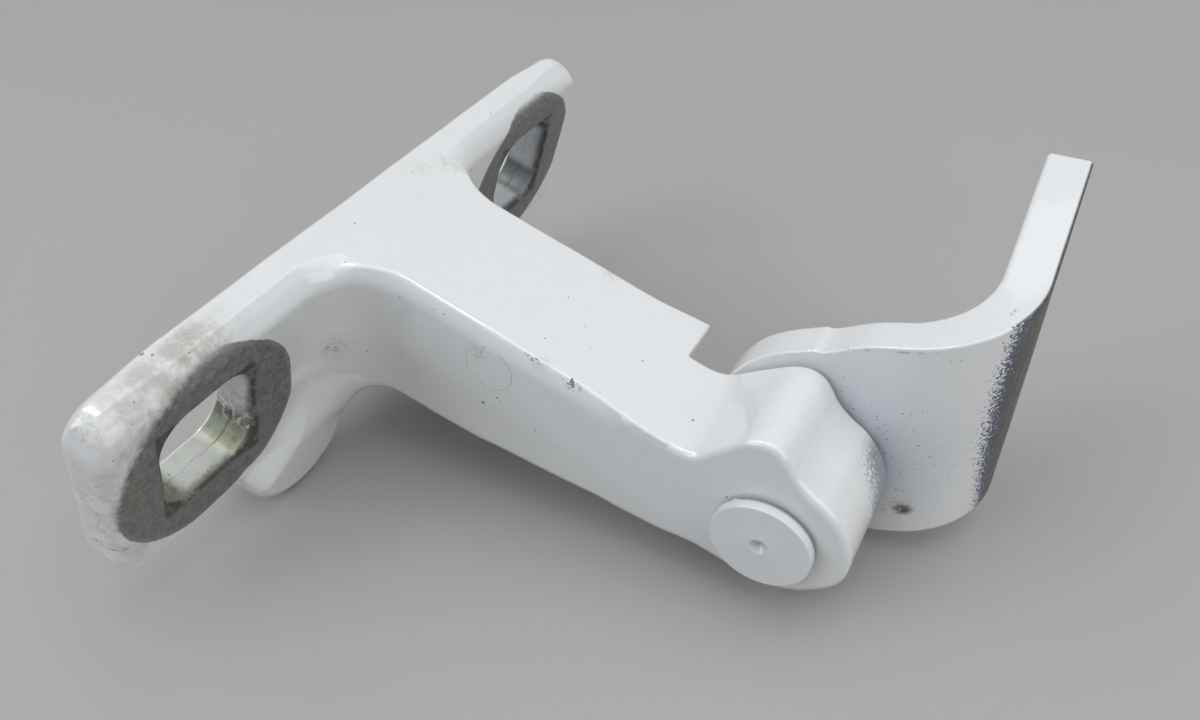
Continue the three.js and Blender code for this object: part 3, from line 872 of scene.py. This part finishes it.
def arm_dirt(here, colour):
    x, y, z = here.parts()
    # dirt rubbed in round the near washer print and, browner, over the ear's rounded edge
    from_hole = distance(here, (-58.0, HOLE_Y[0], HOLE_Z))
    grime = noise(here * (0.8, 1.0, 1.0), 0.42, detail=6.0, rough=0.66)
    grey = (from_hole.fall(12.5, 19.5) * (z * 0.5 - y).rise(14.0, 25.0)
            * grime.rise(0.34, 0.62) * x.rise(*BACK_EDGE))
    brown = (from_hole.fall(13.0, 19.5) * z.rise(0.0, 3.2) * y.rise(-15, -22)
             * grime.rise(0.30, 0.60) * x.rise(*BACK_EDGE))
    colour = mix(grey * 0.40, colour, (0.30, 0.285, 0.27))
    colour = mix(brown * 0.50, colour, (0.46, 0.41, 0.36))
    pits = (specks(here, scale=1.3, size=0.22, share=0.75, seed=8) * from_hole.fall(12.5, 18.5)
            * y.rise(-17.0, -22.0) * x.rise(*BACK_EDGE))
    colour = mix(pits * 0.85, colour, SPECK)
    # dust and finger marks, mostly on the broad top
    dust = noise(here * (1.0, 1.6, 1.0), 0.35, detail=6.0, rough=0.7)
    dust = z.rise(3.6, 4.5) * dust.rise(0.5, 0.75)
    colour = mix(dust * 0.14, colour, (0.62, 0.59, 0.54))
    smear = noise(here, 1.7, detail=5.0, rough=0.7, distort=0.6).rise(0.46, 0.62)
    for centre, radius, strength in SMEARS:
        spot = blob(here, centre, radius * 0.15, radius)
        colour = mix(spot * smear * strength, colour, (0.40, 0.34, 0.27))
    for centre, radius in MARKS:
        ragged = stirred(here, 3.0, 0.3, detail=2.0, centred=True)
        spot = blob(ragged, centre, radius * 0.6, radius * 1.25)
        colour = mix(spot * 0.85, colour, (0.15, 0.135, 0.12))
    scattered = maximum(specks(here, scale=0.33, size=0.30, share=0.55, seed=1),
                        specks(here, scale=0.8, size=0.16, share=0.35, seed=2))
    colour = mix(scattered * 0.85, colour, (0.16, 0.145, 0.13))
    # clustered grit in the near root and at two spots on the far top edge
    near = maximum(blob(here, (-55.6, -4.0, -8.3), 0.4, 2.7),
                   0.8 * blob(here, (-57.6, 21.6, 4.6), 0.3, 2.0),
                   0.7 * blob(here, (-31.7, 18.5, 4.6), 0.2, 1.4))
    grains = noise(here * (1.0, 1.0, 1.5), 2.1, detail=5.0, rough=0.72, distort=1.4)
    grit = (grains * (0.62 + near * 0.38)).rise(0.565, 0.60) * near.rise(0.05, 0.3)
    return mix(grit * 0.9, colour, (0.14, 0.125, 0.11))


def arm_chips(here):
    """Bare spots on the near top edge with a net of fine cracks round them."""
    near = maximum(
        blob(here * (0.5, 1.0, 1.0), (-26.9 * 0.5, 0.65, 4.3), 0.15, 1.1),
        0.95 * blob(here * (0.22, 1.0, 1.0), (-32.0 * 0.22, 0.75, 4.45), 0.05, 0.5))
    net = maximum(lines(stirred(here, 2.4, 0.7), 1.7, width=0.10),
                  lines(stirred(here, 4.4, 0.4), 3.1, width=0.12))
    patches = noise(here, 1.9, detail=4.0, rough=0.7)
    net = net * near.rise(0.22, 0.62) * patches.rise(0.48, 0.56)
    ragged = noise(here * (0.55, 1.9, 1.9), 2.0, rough=0.6, distort=0.8)
    return maximum(net, (near * ragged).rise(0.50, 0.54))


def arm_scratches(here, colour):
    x, y, z = here.parts()
    # a fine ring, 3.15 mm in radius, on the near side
    from_ring = abs(distance(here * AROUND_PIN, (-36.7, 0.0, -0.4)) - 3.15)
    scratch = from_ring.fall(0.02, 0.085) * y.rise(2.0, 1.0) * noise(here, 0.6).rise(0.42, 0.54)
    colour = mix(scratch * 0.6, colour, (0.27, 0.26, 0.25))
    # a hairline across the foot's near end
    from_hair = abs(z - (noise(here, 0.8, detail=2.0) * 1.6 + -16.2))
    crack = from_hair.fall(0.03, 0.10) * y.rise(-33.5, -34.5) * x.rise(-61.8, -60.6)
    return mix(crack * 0.8, colour, (0.12, 0.11, 0.10))


def washer_print(here, from_seat, edge, mottle):
    """A mask of the steel rings left by the washers; the high, near side is blurred."""
    x, y, z = here.parts()
    blurred = ((z - HOLE_Z) * 0.72 - (y - HOLE_Y[0]) * 0.69).rise(5.5, 12.0)
    blurred = blurred * y.rise(8.0, 0.0)
    soft = 0.11 + blurred * 0.75
    front = (x + (mottle - 0.5) * 1.2).rise(-58.9, -57.95)
    past = from_seat - edge + ((mottle - 0.5) * (blurred * 2.2) + blurred * 0.5)
    return (1.0 - past.rise(soft * -1.0, soft)) * front


def print_steel(here, from_seat, edge, mottle, fine, from_wall):
    """Mottled steel, dark at the hole's rim and lighter along the print's edge."""
    steel = ramp(mottle, (0.30, (0.125, 0.118, 0.110)), (0.47, (0.200, 0.190, 0.180)),
                 (0.60, (0.265, 0.252, 0.238)), (0.78, (0.33, 0.315, 0.295)))
    steel = mix(fine.rise(0.58, 0.70, high=0.5), steel, (0.075, 0.070, 0.065))
    rim = from_wall.fall(0.10, 0.55) * noise(here, 0.7, detail=2.0).rise(0.30, 0.55)
    steel = mix(rim * 0.75, steel, (0.030, 0.029, 0.027))
    lip = abs(from_seat - (edge - 0.25)).fall(0.05, 0.55)
    return mix(lip * 0.35, steel, (0.34, 0.33, 0.31))


def hole_zinc(here, warp):
    """The holes' zinc walls: colour, roughness, metalness and height."""
    x, y, z = here.parts()
    clouds = noise(here, 0.9, detail=4.0, rough=0.6)
    sandy = ramp(clouds, (0.30, (0.15, 0.16, 0.11)), (0.5, (0.26, 0.27, 0.19)),
                 (0.66, (0.20, 0.26, 0.225)), (0.85, (0.34, 0.34, 0.28)))
    grains = noise(here, 7.0, detail=4.0, rough=0.75).rise(0.50, 0.64, high=0.55)
    sandy = mix(grains, sandy, (0.09, 0.092, 0.07))
    grey = ramp(clouds, (0.30, (0.17, 0.175, 0.18)), (0.55, (0.28, 0.29, 0.29)),
                (0.8, (0.40, 0.41, 0.41)))
    # sandy low down, and darker in the far hole
    low = (z - HOLE_Z).rise(-2.2, -5.2)
    colour = mix(low, grey, sandy)
    colour = mix(y.rise(8.0, 12.0, high=0.75), colour, (0.085, 0.10, 0.125))
    # a line round the wall, then bright and dark creases in a band of the near hole
    line = abs(x + 60.6 + warp * 0.8).fall(0.03, 0.16)
    colour = mix(line * 0.6, colour, (0.10, 0.10, 0.085))
    fold = abs(z - HOLE_Z + 3.6).fall(0.4, 2.6) * y.rise(8.0, 4.0)
    creases = lines(stirred(here, 1.1, 1.6), 0.62, width=0.12)
    colour = mix(fold * creases * 0.85, colour, (0.78, 0.80, 0.80))
    blots = noise(here, 1.9, detail=4.0, rough=0.7, distort=0.8).rise(0.5, 0.6)
    colour = mix(fold * blots, colour, (0.07, 0.072, 0.07))
    facets = cells(here * (0.8, 1, 1), 0.42)[0] ** 1.5
    height = (facets * (0.10 + fold * 0.45) * x.rise(-58.4, -59.4)
              + noise(here, 7.0) * 0.010 + line * -0.05 + -0.08)
    rough = clouds.rise(0.3, 0.8, low=0.24, high=0.40) + low * 0.22
    return colour, rough, 0.85 - low * 0.45, height


def arm_material():
    material = new_material("arm_gloss_white")
    here = design_point(material)
    x, y, z = here.parts()
    colour, rough, height = paint(here)
    warp = noise(here, 0.8, detail=4.0, rough=0.6) - 0.5
    colour = arm_dirt(here, colour)
    chip = arm_chips(here)
    colour = mix(chip, colour, (0.05, 0.047, 0.043))
    rough = rough + chip * 0.4
    height = height - chip * 0.02
    colour = arm_scratches(here, colour)
    # thin, speckled paint on the barrel, growing to its far end and downwards
    from_pin = radius_of(here, AROUND_PIN)
    barrel = from_pin.rise(8.6, 9.2) * x.rise(3.5, 6.0) * y.rise(-0.5, 1.2)
    thin = (y * 0.16 + (4.0 - z) * 0.085).rise(0.35, 2.1)
    grains = noise(here, 3.2, detail=2.0, rough=0.7)
    bare = barrel * (grains + thin * 0.50).rise(0.76, 0.84)
    colour = mix(bare * 0.78, colour, (0.15, 0.17, 0.215))
    rough = rough + barrel * thin * 0.25
    height = height + bare * -0.01
    # washer prints, 13.15 mm in radius
    edge = 13.15 + warp * 0.5
    from_seat = minimum(*(distance(here * (0, 1, 1), (0, hole_y, SEAT_Z)) for hole_y in HOLE_Y))
    mottle = noise(here, 1.3, detail=6.0, rough=0.68)
    fine = noise(here, 5.5, rough=0.6)
    from_middle = minimum(abs(y - HOLE_Y[0]), abs(y - HOLE_Y[1]))
    from_wall = maximum(from_middle - HOLE_W / 2, abs(z - HOLE_Z) - HOLE_H / 2)
    printed = washer_print(here, from_seat, edge, mottle)
    steel = print_steel(here, from_seat, edge, mottle, fine, from_wall)
    colour = mix(printed, colour, steel)
    rough = cover(printed, rough, mottle.rise(0.3, 0.7, low=0.42, high=0.62))
    metal = printed * 0.35
    height = cover(printed, height, -0.09 + fine * 0.02 + mottle * 0.03)
    # zinc walls of the bolt holes
    wall = from_wall.fall(-0.25, 0.28) * x.rise(-57.75, -57.95) * x.rise(-63.2, -62.9)
    zinc, zinc_rough, zinc_metal, zinc_height = hole_zinc(here, warp)
    colour = mix(wall, colour, zinc)
    rough = cover(wall, rough, zinc_rough)
    metal = maximum(metal, wall * zinc_metal)
    height = cover(wall, height, zinc_height)
    coat = COAT * (1.0 - maximum(printed, wall, chip))
    # bare inside the pin hole and washer recess
    inner = from_pin.rise(8.35, 8.25) * y.rise(0.1, 0.3)
    colour = mix(inner, colour, (0.30, 0.30, 0.30))
    metal = maximum(metal, inner * 0.9)
    rough = rough + inner * 0.12
    return finish(material, colour, rough, height, metal, coat, COAT_ROUGH)


def leaf_dirt(here, colour):
    along, up, depth = here.parts()
    scattered = specks(here, scale=0.35, size=0.26, share=0.5, seed=5)
    colour = mix(scattered * 0.85, colour, SPECK)
    scattered = specks(here, scale=1.1, size=0.13, share=0.35, seed=6)
    colour = mix(scattered * 0.8, colour, SPECK)
    # painted shade: the near face darkened to a bluish grey close to the knuckle, with fine dark
    # specks in the same patch
    knuckle_shade_and_specks = distance(here, (4.0, 3.0, 0.0)).fall(5.0, 15.5) * depth.rise(0.8, 0.3)
    colour = mix(knuckle_shade_and_specks * 0.42, colour, (0.42, 0.47, 0.55))
    scattered = specks(here, scale=2.4, size=0.17, share=0.8, seed=7)
    colour = mix(scattered * knuckle_shade_and_specks * 0.8, colour, (0.20, 0.21, 0.23))
    # a rust spot low on the near face, with a paler stain beside it
    patches = noise(here, 1.4, detail=5.0, rough=0.7, distort=0.5)
    rust = blob(here, (11.3, -4.3, 0.0), 0.35, 1.25) * patches.rise(0.34, 0.46)
    colour = mix(rust * 0.95, colour, (0.075, 0.055, 0.035))
    stain = blob(here, (10.4, -4.0, 0.0), 0.4, 2.5) * patches.rise(0.47, 0.60)
    colour = mix(stain * 0.45, colour, (0.36, 0.30, 0.22))
    # a ragged line just under the near top edge
    burr = (abs(up - (leaf_top(along) - 0.55)).fall(0.04, 0.16) * depth.rise(0.5, 0.2)
            * noise(here, 0.9, detail=4.0).rise(0.5, 0.56) * along.rise(13.0, 9.0))
    colour = mix(burr * 0.55, colour, (0.25, 0.25, 0.25))
    # a broken scratch in the bend, flattened 3.5 times in depth
    scratch = distance(here * (1.0, 0, 3.5), (18.5, 0, 1.6 * 3.5)).fall(0.2, 0.9)
    broken = noise(here, 3.0, rough=0.6, distort=1.0).rise(0.48, 0.54)
    return mix(scratch * broken * 0.7, colour, (0.22, 0.20, 0.18)), rust


def leaf_material():
    material = new_material("leaf_gloss_white")
    here = design_point(material)
    along, up, depth = here.parts()
    colour, rough, height = paint(here)
    colour, rust = leaf_dirt(here, colour)
    # the outer face: paint thins through a speckled, bowed band to bare, streaked steel
    grain = noise(here, 3.0, detail=2.0, rough=0.7)
    drift = noise(here, 1.1, detail=4.0, rough=0.6)
    bow = (up - 14.5) ** 2.0 * 0.0048
    past = along + (drift - 0.5) * 1.2 - (16.9 + bow)
    thin = past.rise(-2.4, 3.0)
    outer = depth.rise(0.42, 0.12)
    bare = (grain + thin * 0.50).rise(0.74, 0.80) * outer
    bare = maximum(bare, past.rise(2.0, 3.6) * outer)
    long_streaks = noise(here * (0.25, 3.2, 1.0), 1.2, detail=5.0, rough=0.65)
    tall_streaks = noise(here * (2.2, 0.2, 1.0), 0.9, detail=5.0, rough=0.65)
    steel = ramp(tall_streaks, (0.28, (0.050, 0.050, 0.055)), (0.45, (0.105, 0.105, 0.112)),
                 (0.62, (0.17, 0.165, 0.155)), (0.8, (0.26, 0.25, 0.225)))
    steel = mix(long_streaks.rise(0.52, 0.72, high=0.5), steel, (0.045, 0.047, 0.055))
    rusty = noise(here, 0.5, detail=5.0, rough=0.7, distort=0.4).rise(0.58, 0.70, high=0.6)
    steel = mix(rusty, steel, (0.20, 0.13, 0.075))
    # bluish where it first shows through
    steel = mix(past.rise(0.4, 3.0), (0.115, 0.14, 0.20), steel)
    colour = mix(bare, colour, steel)
    rough = cover(bare, rough, long_streaks.rise(0.3, 0.7, low=0.36, high=0.55))
    height = cover(bare, height, tall_streaks * 0.04 + grain * 0.012 + -0.03)
    metal = bare * 0.45
    # bare inside the eye
    eye = radius_of(here, (1, 1, 0)).rise(5.95, 5.85)
    colour = mix(eye, colour, (0.34, 0.34, 0.34))
    metal = maximum(metal, eye * 0.9)
    coat = COAT * (1.0 - maximum(bare, rust, eye))
    return finish(material, colour, rough, height, metal, coat, COAT_ROUGH)


def pin_material():
    material = new_material("pin_white_head")
    here = design_point(material)
    x, y, z = here.parts()
    colour, rough, height = paint(here + (31, 5, 17))
    scattered = specks(here, scale=0.55, size=0.24, share=0.5, seed=9)
    colour = mix(scattered * 0.85, colour, SPECK)
    # painted shade: the gap under the head's edge darkened, most towards its upper right, and the
    # centre mark's dimple dimmed to a bluish grey
    seat = y.rise(-0.80, -0.40) * (noise(here, 1.1) + (x + z) * 0.03).rise(0.38, 0.56)
    colour = mix(seat * 0.75, colour, (0.12, 0.13, 0.14))
    dimple_shade = radius_of(here, AROUND_PIN).rise(1.5, 0.7)
    colour = mix(dimple_shade * 0.28, colour, (0.45, 0.46, 0.50))
    # bare brushed steel past the head, hammered at the tail
    bare = y.rise(-0.18, 0.1)
    brush = noise(here * (0.3, 9.0, 0.3), 1.0, rough=0.6)
    steel = ramp(brush, (0.3, (0.42, 0.42, 0.42)), (0.7, (0.56, 0.56, 0.55)))
    hammer = y.rise(23.6, 24.0) * cells(here, 1.1)[0]
    colour = mix(bare, colour, steel)
    height = cover(bare, height, brush * 0.004 + hammer * 0.05)
    rough = cover(bare, rough, 0.3)
    return finish(material, colour, rough, height, bare, COAT * (1.0 - bare), COAT_ROUGH)


# ------------------------------------------------------------------ unpainted pieces
def turned_metal(name, dark, light, stain, rough, bump=0.006):
    """Lathe rings between two tones, clouded by a stain; rough is the smooth and dull value."""
    material = new_material(name)
    here = design_point(material)
    y = here.parts()[1]
    rings = add_node(material.node_tree, "CombineXYZ", {
        0: radius_of(here, AROUND_PIN) * 9.0, 1: y * 9.0, 2: 0.0})
    rings = noise(Value(material.node_tree, rings.outputs[0]), 1.0, rough=0.65)
    clouds = noise(here, 0.7, detail=4.0, rough=0.6)
    colour = ramp(rings, (0.3, dark), (0.7, light))
    colour = mix(clouds.rise(0.5, 0.75, high=0.7), colour, stain)
    height = rings * bump + noise(here, 5.0) * (bump * 0.5)
    return finish(material, colour, clouds.rise(0.3, 0.75, *rough), height, metal=1.0)


def lining_material():
    """Dark fibrous composite with scattered brassy flakes."""
    material = new_material("friction_composite")
    here = design_point(material)
    fibre = noise(here, 3.5, detail=5.0, rough=0.75)
    from_flake, tint = cells(here, 2.6)
    colour = ramp(fibre, (0.3, (0.022, 0.019, 0.016)), (0.6, (0.055, 0.046, 0.038)),
                  (0.8, (0.11, 0.09, 0.07)))
    flakes = from_flake.rise(0.32, 0.2) * tint.parts()[0].rise(0.85, 0.87)
    colour = mix(flakes, colour, (0.30, 0.21, 0.10))
    return finish(material, colour, fibre.rise(0.3, 0.7, low=0.55, high=0.8), fibre * 0.02)


materials = {       # by slot
    "arm_paint": arm_material(),
    "leaf_paint": leaf_material(),
    "pin_paint": pin_material(),
    "zinc_steel": turned_metal(
        "zinc_plate", dark=(0.50, 0.51, 0.49), light=(0.62, 0.62, 0.58),
        stain=(0.52, 0.49, 0.36), rough=(0.25, 0.42)),
    "spring_steel": turned_metal(
        "blued_spring", dark=(0.10, 0.105, 0.12), light=(0.19, 0.195, 0.21),
        stain=(0.09, 0.085, 0.11), rough=(0.28, 0.4)),
    "bush_bronze": turned_metal(
        "sintered_bronze", dark=(0.40, 0.27, 0.12), light=(0.52, 0.37, 0.18),
        stain=(0.26, 0.17, 0.08), rough=(0.38, 0.5), bump=0.012),
    "friction_lining": lining_material(),
}
for piece, cad_node, slot_name in pieces:
    piece.data.materials.clear()
    piece.data.materials.append(materials[slot_name])
    # the CAD node behind the piece takes the same finish
    for cad_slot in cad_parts[cad_node].material_slots:
        cad_slot.material = materials[slot_name]


# ------------------------------------------------------------------ floor, light, camera (metres)
FLOOR_HALF = 3.0
CENTRE = (0.045, 0.0, -0.005)       # what the lights point at


def build_floor():
    mesh = bpy.data.meshes.new("floor")
    corners = [(x * FLOOR_HALF, y * FLOOR_HALF, FLOOR_Z)
               for x, y in ((-1, -1), (1, -1), (1, 1), (-1, 1))]
    mesh.from_pydata(corners, [], [(0, 1, 2, 3)])
    floor = add_object("floor", mesh)
    material = new_material("floor_pale")
    tree = material.node_tree
    here = Value(tree, add_node(tree, "TexCoord", {}).outputs["Object"])
    clouds = noise(here, 9.0, rough=0.5)
    colour = mix(clouds, (0.405, 0.393, 0.381), (0.440, 0.428, 0.416))
    mesh.materials.append(finish(material, colour, rough=0.75, spec=0.2))


def build_world():
    """A soft sky, brightest nearly overhead."""
    world = bpy.data.worlds.new("studio")
    bpy.context.scene.world = world
    world.use_nodes = True
    tree = world.node_tree
    for node in list(tree.nodes):
        tree.nodes.remove(node)
    ray = Value(tree, add_node(tree, "TexCoord", {}).outputs["Generated"])
    brightest = (-0.16, 0.30, 0.94)
    sky = vector_calc("DOT_PRODUCT", vector_calc("NORMALIZE", ray), brightest, output="Value")
    tone = ramp(calc("MULTIPLY_ADD", sky, 0.5, 0.5),
                (0.30, (0.10, 0.11, 0.125)), (0.50, (0.22, 0.235, 0.27)),
                (0.66, (0.50, 0.52, 0.55)), (0.84, (0.86, 0.87, 0.88)), (1.0, (1.0, 1.0, 1.0)))
    # a plain pale backdrop where the camera looks past the floor's edge
    seen = Value(tree, add_node(tree, "LightPath", {}).outputs["Is Camera Ray"])
    tone = mix(seen, tone, (0.75, 0.745, 0.74))
    background = add_node(tree, "Background", {"Color": tone, "Strength": 0.68})
    output = add_node(tree, "OutputWorld", {})
    tree.links.new(background.outputs[0], output.inputs[0])


def area_light(name, place, size, power, colour=(1, 1, 1), target=CENTRE):
    """A rectangular light aimed at the target, or straight down without one."""
    light = bpy.data.lights.new(name, "AREA")
    light.shape = "RECTANGLE"
    light.size, light.size_y = size
    light.energy = power
    light.color = colour
    ob = add_object(name, light)
    ob.location = place
    if target:
        aim = Vector(target) - Vector(place)
        ob.rotation_euler = aim.to_track_quat("-Z", "Y").to_euler()
    return ob


def build_camera():
    camera = bpy.data.cameras.new("camera")
    camera.sensor_width = 36.0
    camera.sensor_fit = "HORIZONTAL"
    camera.lens = 30.1185
    camera.clip_start, camera.clip_end = 0.005, 20.0
    ob = add_object("camera", camera)
    # the columns are the camera's right, up and back; squared up to remove their rounding
    axes = np.array([[0.8792, -0.2852, 0.3817],
                     [0.4752, 0.5827, -0.6593],
                     [-0.0344, 0.7611, 0.6478]])
    square, _ = np.linalg.qr(axes)
    square = square * np.sign((square * axes).sum(0))
    pose = Matrix(square.tolist()).to_4x4()
    pose.translation = Vector((0.08379, -0.08029, 0.07569))
    ob.matrix_world = pose
    bpy.context.scene.camera = ob


build_floor()
build_world()
area_light("key_overhead", (0.30, 0.06, 0.78), size=(0.9, 0.7), power=2.2,
           colour=(1.0, 0.995, 0.985))
area_light("fill_left", (-0.32, -0.39, 0.33), size=(0.42, 0.32), power=1.1,
           colour=(0.93, 0.965, 1.0))
area_light("fill_right", (0.56, -0.08, 0.26), size=(0.45, 0.35), power=0.85,
           colour=(1.0, 0.995, 0.985))
strip = area_light("strip_left", (-0.50, -0.10, 0.75), size=(1.1, 0.022), power=8.0, target=None)
strip.visible_diffuse = False       # a thin window: seen only as a highlight on the gloss
build_camera()
bpy.context.scene.view_settings.view_transform = "Standard"
bpy.context.scene.view_settings.look = "None"

bpy.context.view_layer.update()
